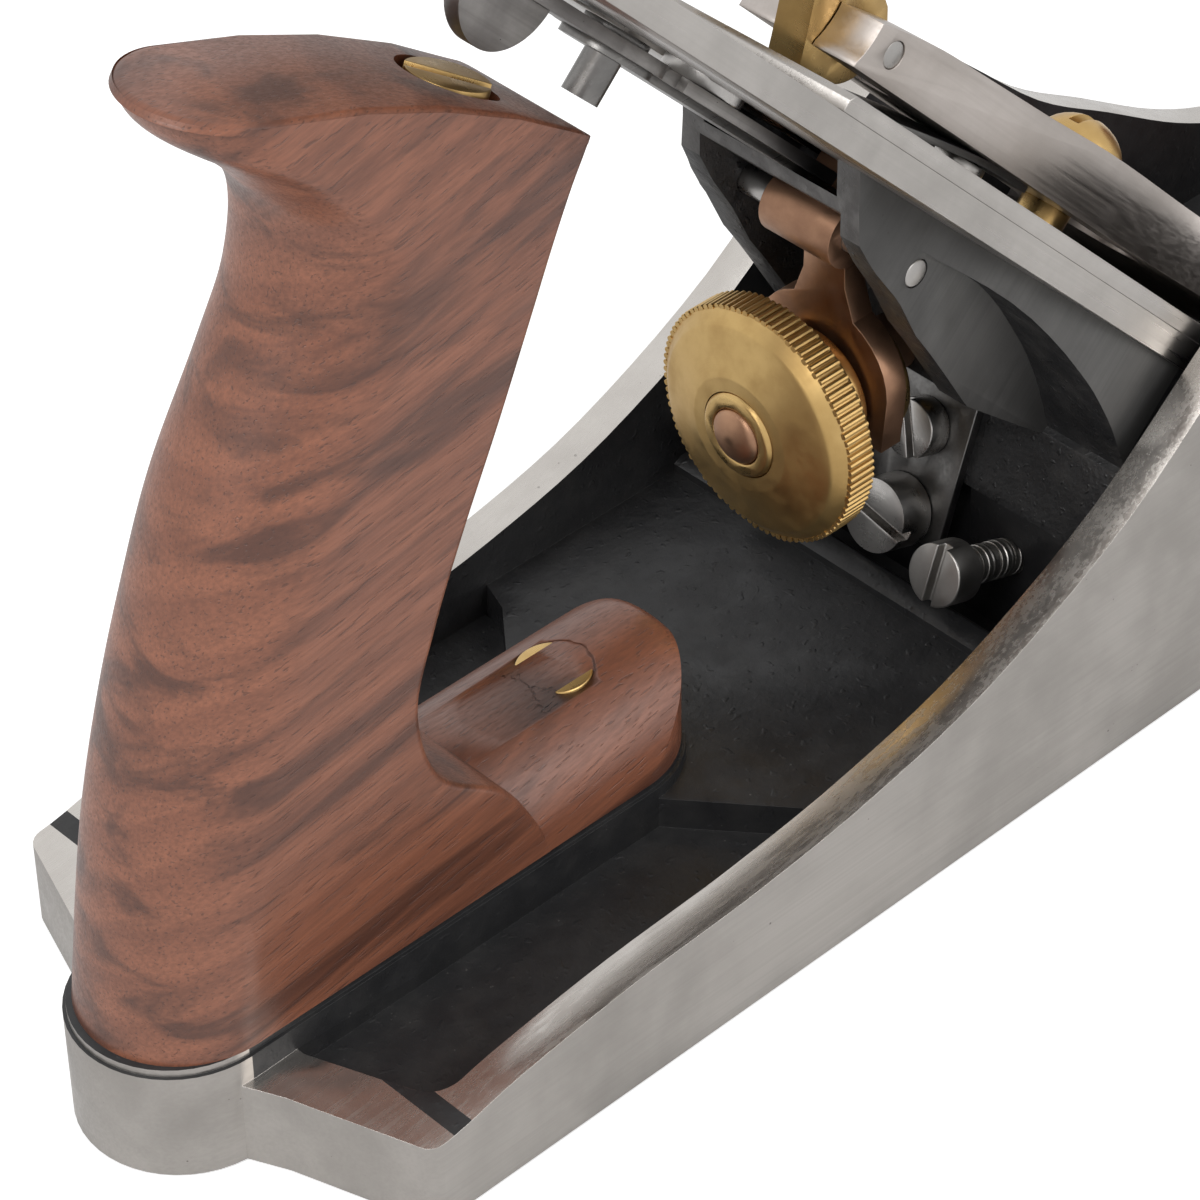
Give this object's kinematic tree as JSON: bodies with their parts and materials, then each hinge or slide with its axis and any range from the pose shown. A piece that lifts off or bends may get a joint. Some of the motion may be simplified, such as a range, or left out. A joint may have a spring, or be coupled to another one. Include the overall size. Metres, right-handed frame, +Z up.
{
  "type": "smoothing plane",
  "caption": "Bench smoothing plane: low cast body, sloping iron on a sliding frog, depth wheel, lateral lever, screwed lever cap with a cam, wooden handle and round knob.",
  "frame": {"origin": "centre of the overall box at the level of the sole", "axes": "+X from heel to toe, +Y to the left seen from behind, +Z up from the sole"},
  "size_m": [0.2464, 0.063, 0.1345],
  "materials": {
    "casting": "ground outside, black inside",
    "black_casting": "satin, rough",
    "walnut": "oiled satin",
    "brass": "satin turned",
    "bronze": "satin cast",
    "screw_steel": "dull",
    "tool_steel": "surface ground",
    "cap_steel": "satin, warm grey",
    "spring_steel": "blank"
  },
  "bodies": {
    "casting": {"body": "casting", "tote": "walnut", "tote_rod": "screw_steel", "tote_nut": "brass", "tote_toe_screw": "brass", "knob": "walnut", "knob_rod": "screw_steel", "knob_nut": "brass"},
    "clamp_screw_left": {"frog_clamp_screw_left": "screw_steel"},
    "clamp_screw_right": {"frog_clamp_screw_right": "screw_steel"},
    "frog_group": {"frog": "black_casting", "frog_draw_pin_left": "screw_steel", "frog_draw_pin_right": "screw_steel", "frog_clip": "screw_steel", "frog_clip_screw": "screw_steel", "depth_stud": "screw_steel", "yoke_pin": "screw_steel", "lateral_pivot": "screw_steel"},
    "adjust_screw": {"frog_adjust_screw": "screw_steel"},
    "sleeve_part": {"depth_sleeve": "brass"},
    "wheel_part": {"depth_wheel": "brass"},
    "yoke_part": {"yoke": "bronze"},
    "iron_group": {"blade": "tool_steel", "cap_iron": "tool_steel", "cap_iron_screw": "screw_steel"},
    "lateral_arm": {"lateral_lever": "screw_steel"},
    "roller_part": {"lateral_roller": "screw_steel"},
    "lever_cap_group": {"lever_cap": "cap_steel", "lever_cap_spring": "spring_steel", "spring_rivet": "screw_steel", "cam_pin": "screw_steel"},
    "cam_part": {"cam_lever": "brass"},
    "cap_screw_part": {"lever_cap_screw": "brass"}
  },
  "joints": [
    {"name": "clamp_screw_left_turn", "type": "hinge", "parent": "casting", "child": "clamp_screw_left", "pos_m": [-0.00495, 0.013, 0.01633], "axis": [0.9455, 0, -0.3256], "range_deg": [-360, 360]},
    {"name": "clamp_screw_right_turn", "type": "hinge", "parent": "casting", "child": "clamp_screw_right", "pos_m": [-0.00495, -0.013, 0.01633], "axis": [0.9455, 0, -0.3256], "range_deg": [-360, 360]},
    {"name": "frog_slide", "type": "slide", "parent": "casting", "child": "frog_group", "axis": [0.9455, 0, -0.3256], "range_m": [-0.0015, 0.0015]},
    {"name": "adjust_screw_turn", "type": "hinge", "parent": "frog_group", "child": "adjust_screw", "pos_m": [-0.00495, 0, 0.01633], "axis": [0.9455, 0, -0.3256], "range_deg": [-540, 540]},
    {"name": "sleeve_slide", "type": "slide", "parent": "frog_group", "child": "sleeve_part", "axis": [1, 0, 0], "range_m": [-0.0015, 0.0015]},
    {"name": "wheel_turn", "type": "hinge", "parent": "sleeve_part", "child": "wheel_part", "pos_m": [-0.028, 0, 0.0414], "axis": [1, 0, 0], "range_deg": [-540, 540]},
    {"name": "yoke_rock", "type": "hinge", "parent": "frog_group", "child": "yoke_part", "pos_m": [-0.02121, 0, 0.06367], "axis": [0, 1, 0], "range_deg": [-3.9, 3.9]},
    {"name": "iron_slide", "type": "slide", "parent": "frog_group", "child": "iron_group", "axis": [-0.7071, 0, 0.7071], "range_m": [-0.00067, 0.00067]},
    {"name": "lateral_swing", "type": "hinge", "parent": "frog_group", "child": "lateral_arm", "pos_m": [-0.0491, 0, 0.0997], "axis": [0.7071, 0, 0.7071], "range_deg": [-3, 3]},
    {"name": "roller_spin", "type": "hinge", "parent": "lateral_arm", "child": "roller_part", "pos_m": [-0.03779, 0, 0.08839], "axis": [0.7071, 0, 0.7071], "continuous": true},
    {"name": "lever_cap_slide", "type": "slide", "parent": "frog_group", "child": "lever_cap_group", "axis": [-0.7071, 0, 0.7071], "range_m": [0, 0.012]},
    {"name": "cam_flip", "type": "hinge", "parent": "lever_cap_group", "child": "cam_part", "pos_m": [-0.01912, 0, 0.08627], "axis": [0, 1, 0], "range_deg": [0, 90]},
    {"name": "cap_screw_turn", "type": "hinge", "parent": "frog_group", "child": "cap_screw_part", "pos_m": [0.00931, 0, 0.04129], "axis": [0.7071, 0, 0.7071], "range_deg": [-360, 360]}
  ],
  "couplings": [
    {"joint": "adjust_screw_turn", "follows": "frog_slide", "rad_per_m": 6283.2},
    {"joint": "sleeve_slide", "follows": "wheel_turn", "m_per_rad": -0.00015915},
    {"joint": "yoke_rock", "follows": "wheel_turn", "ratio": 0.007145},
    {"joint": "iron_slide", "follows": "wheel_turn", "m_per_rad": -0.000070736}
  ]
}
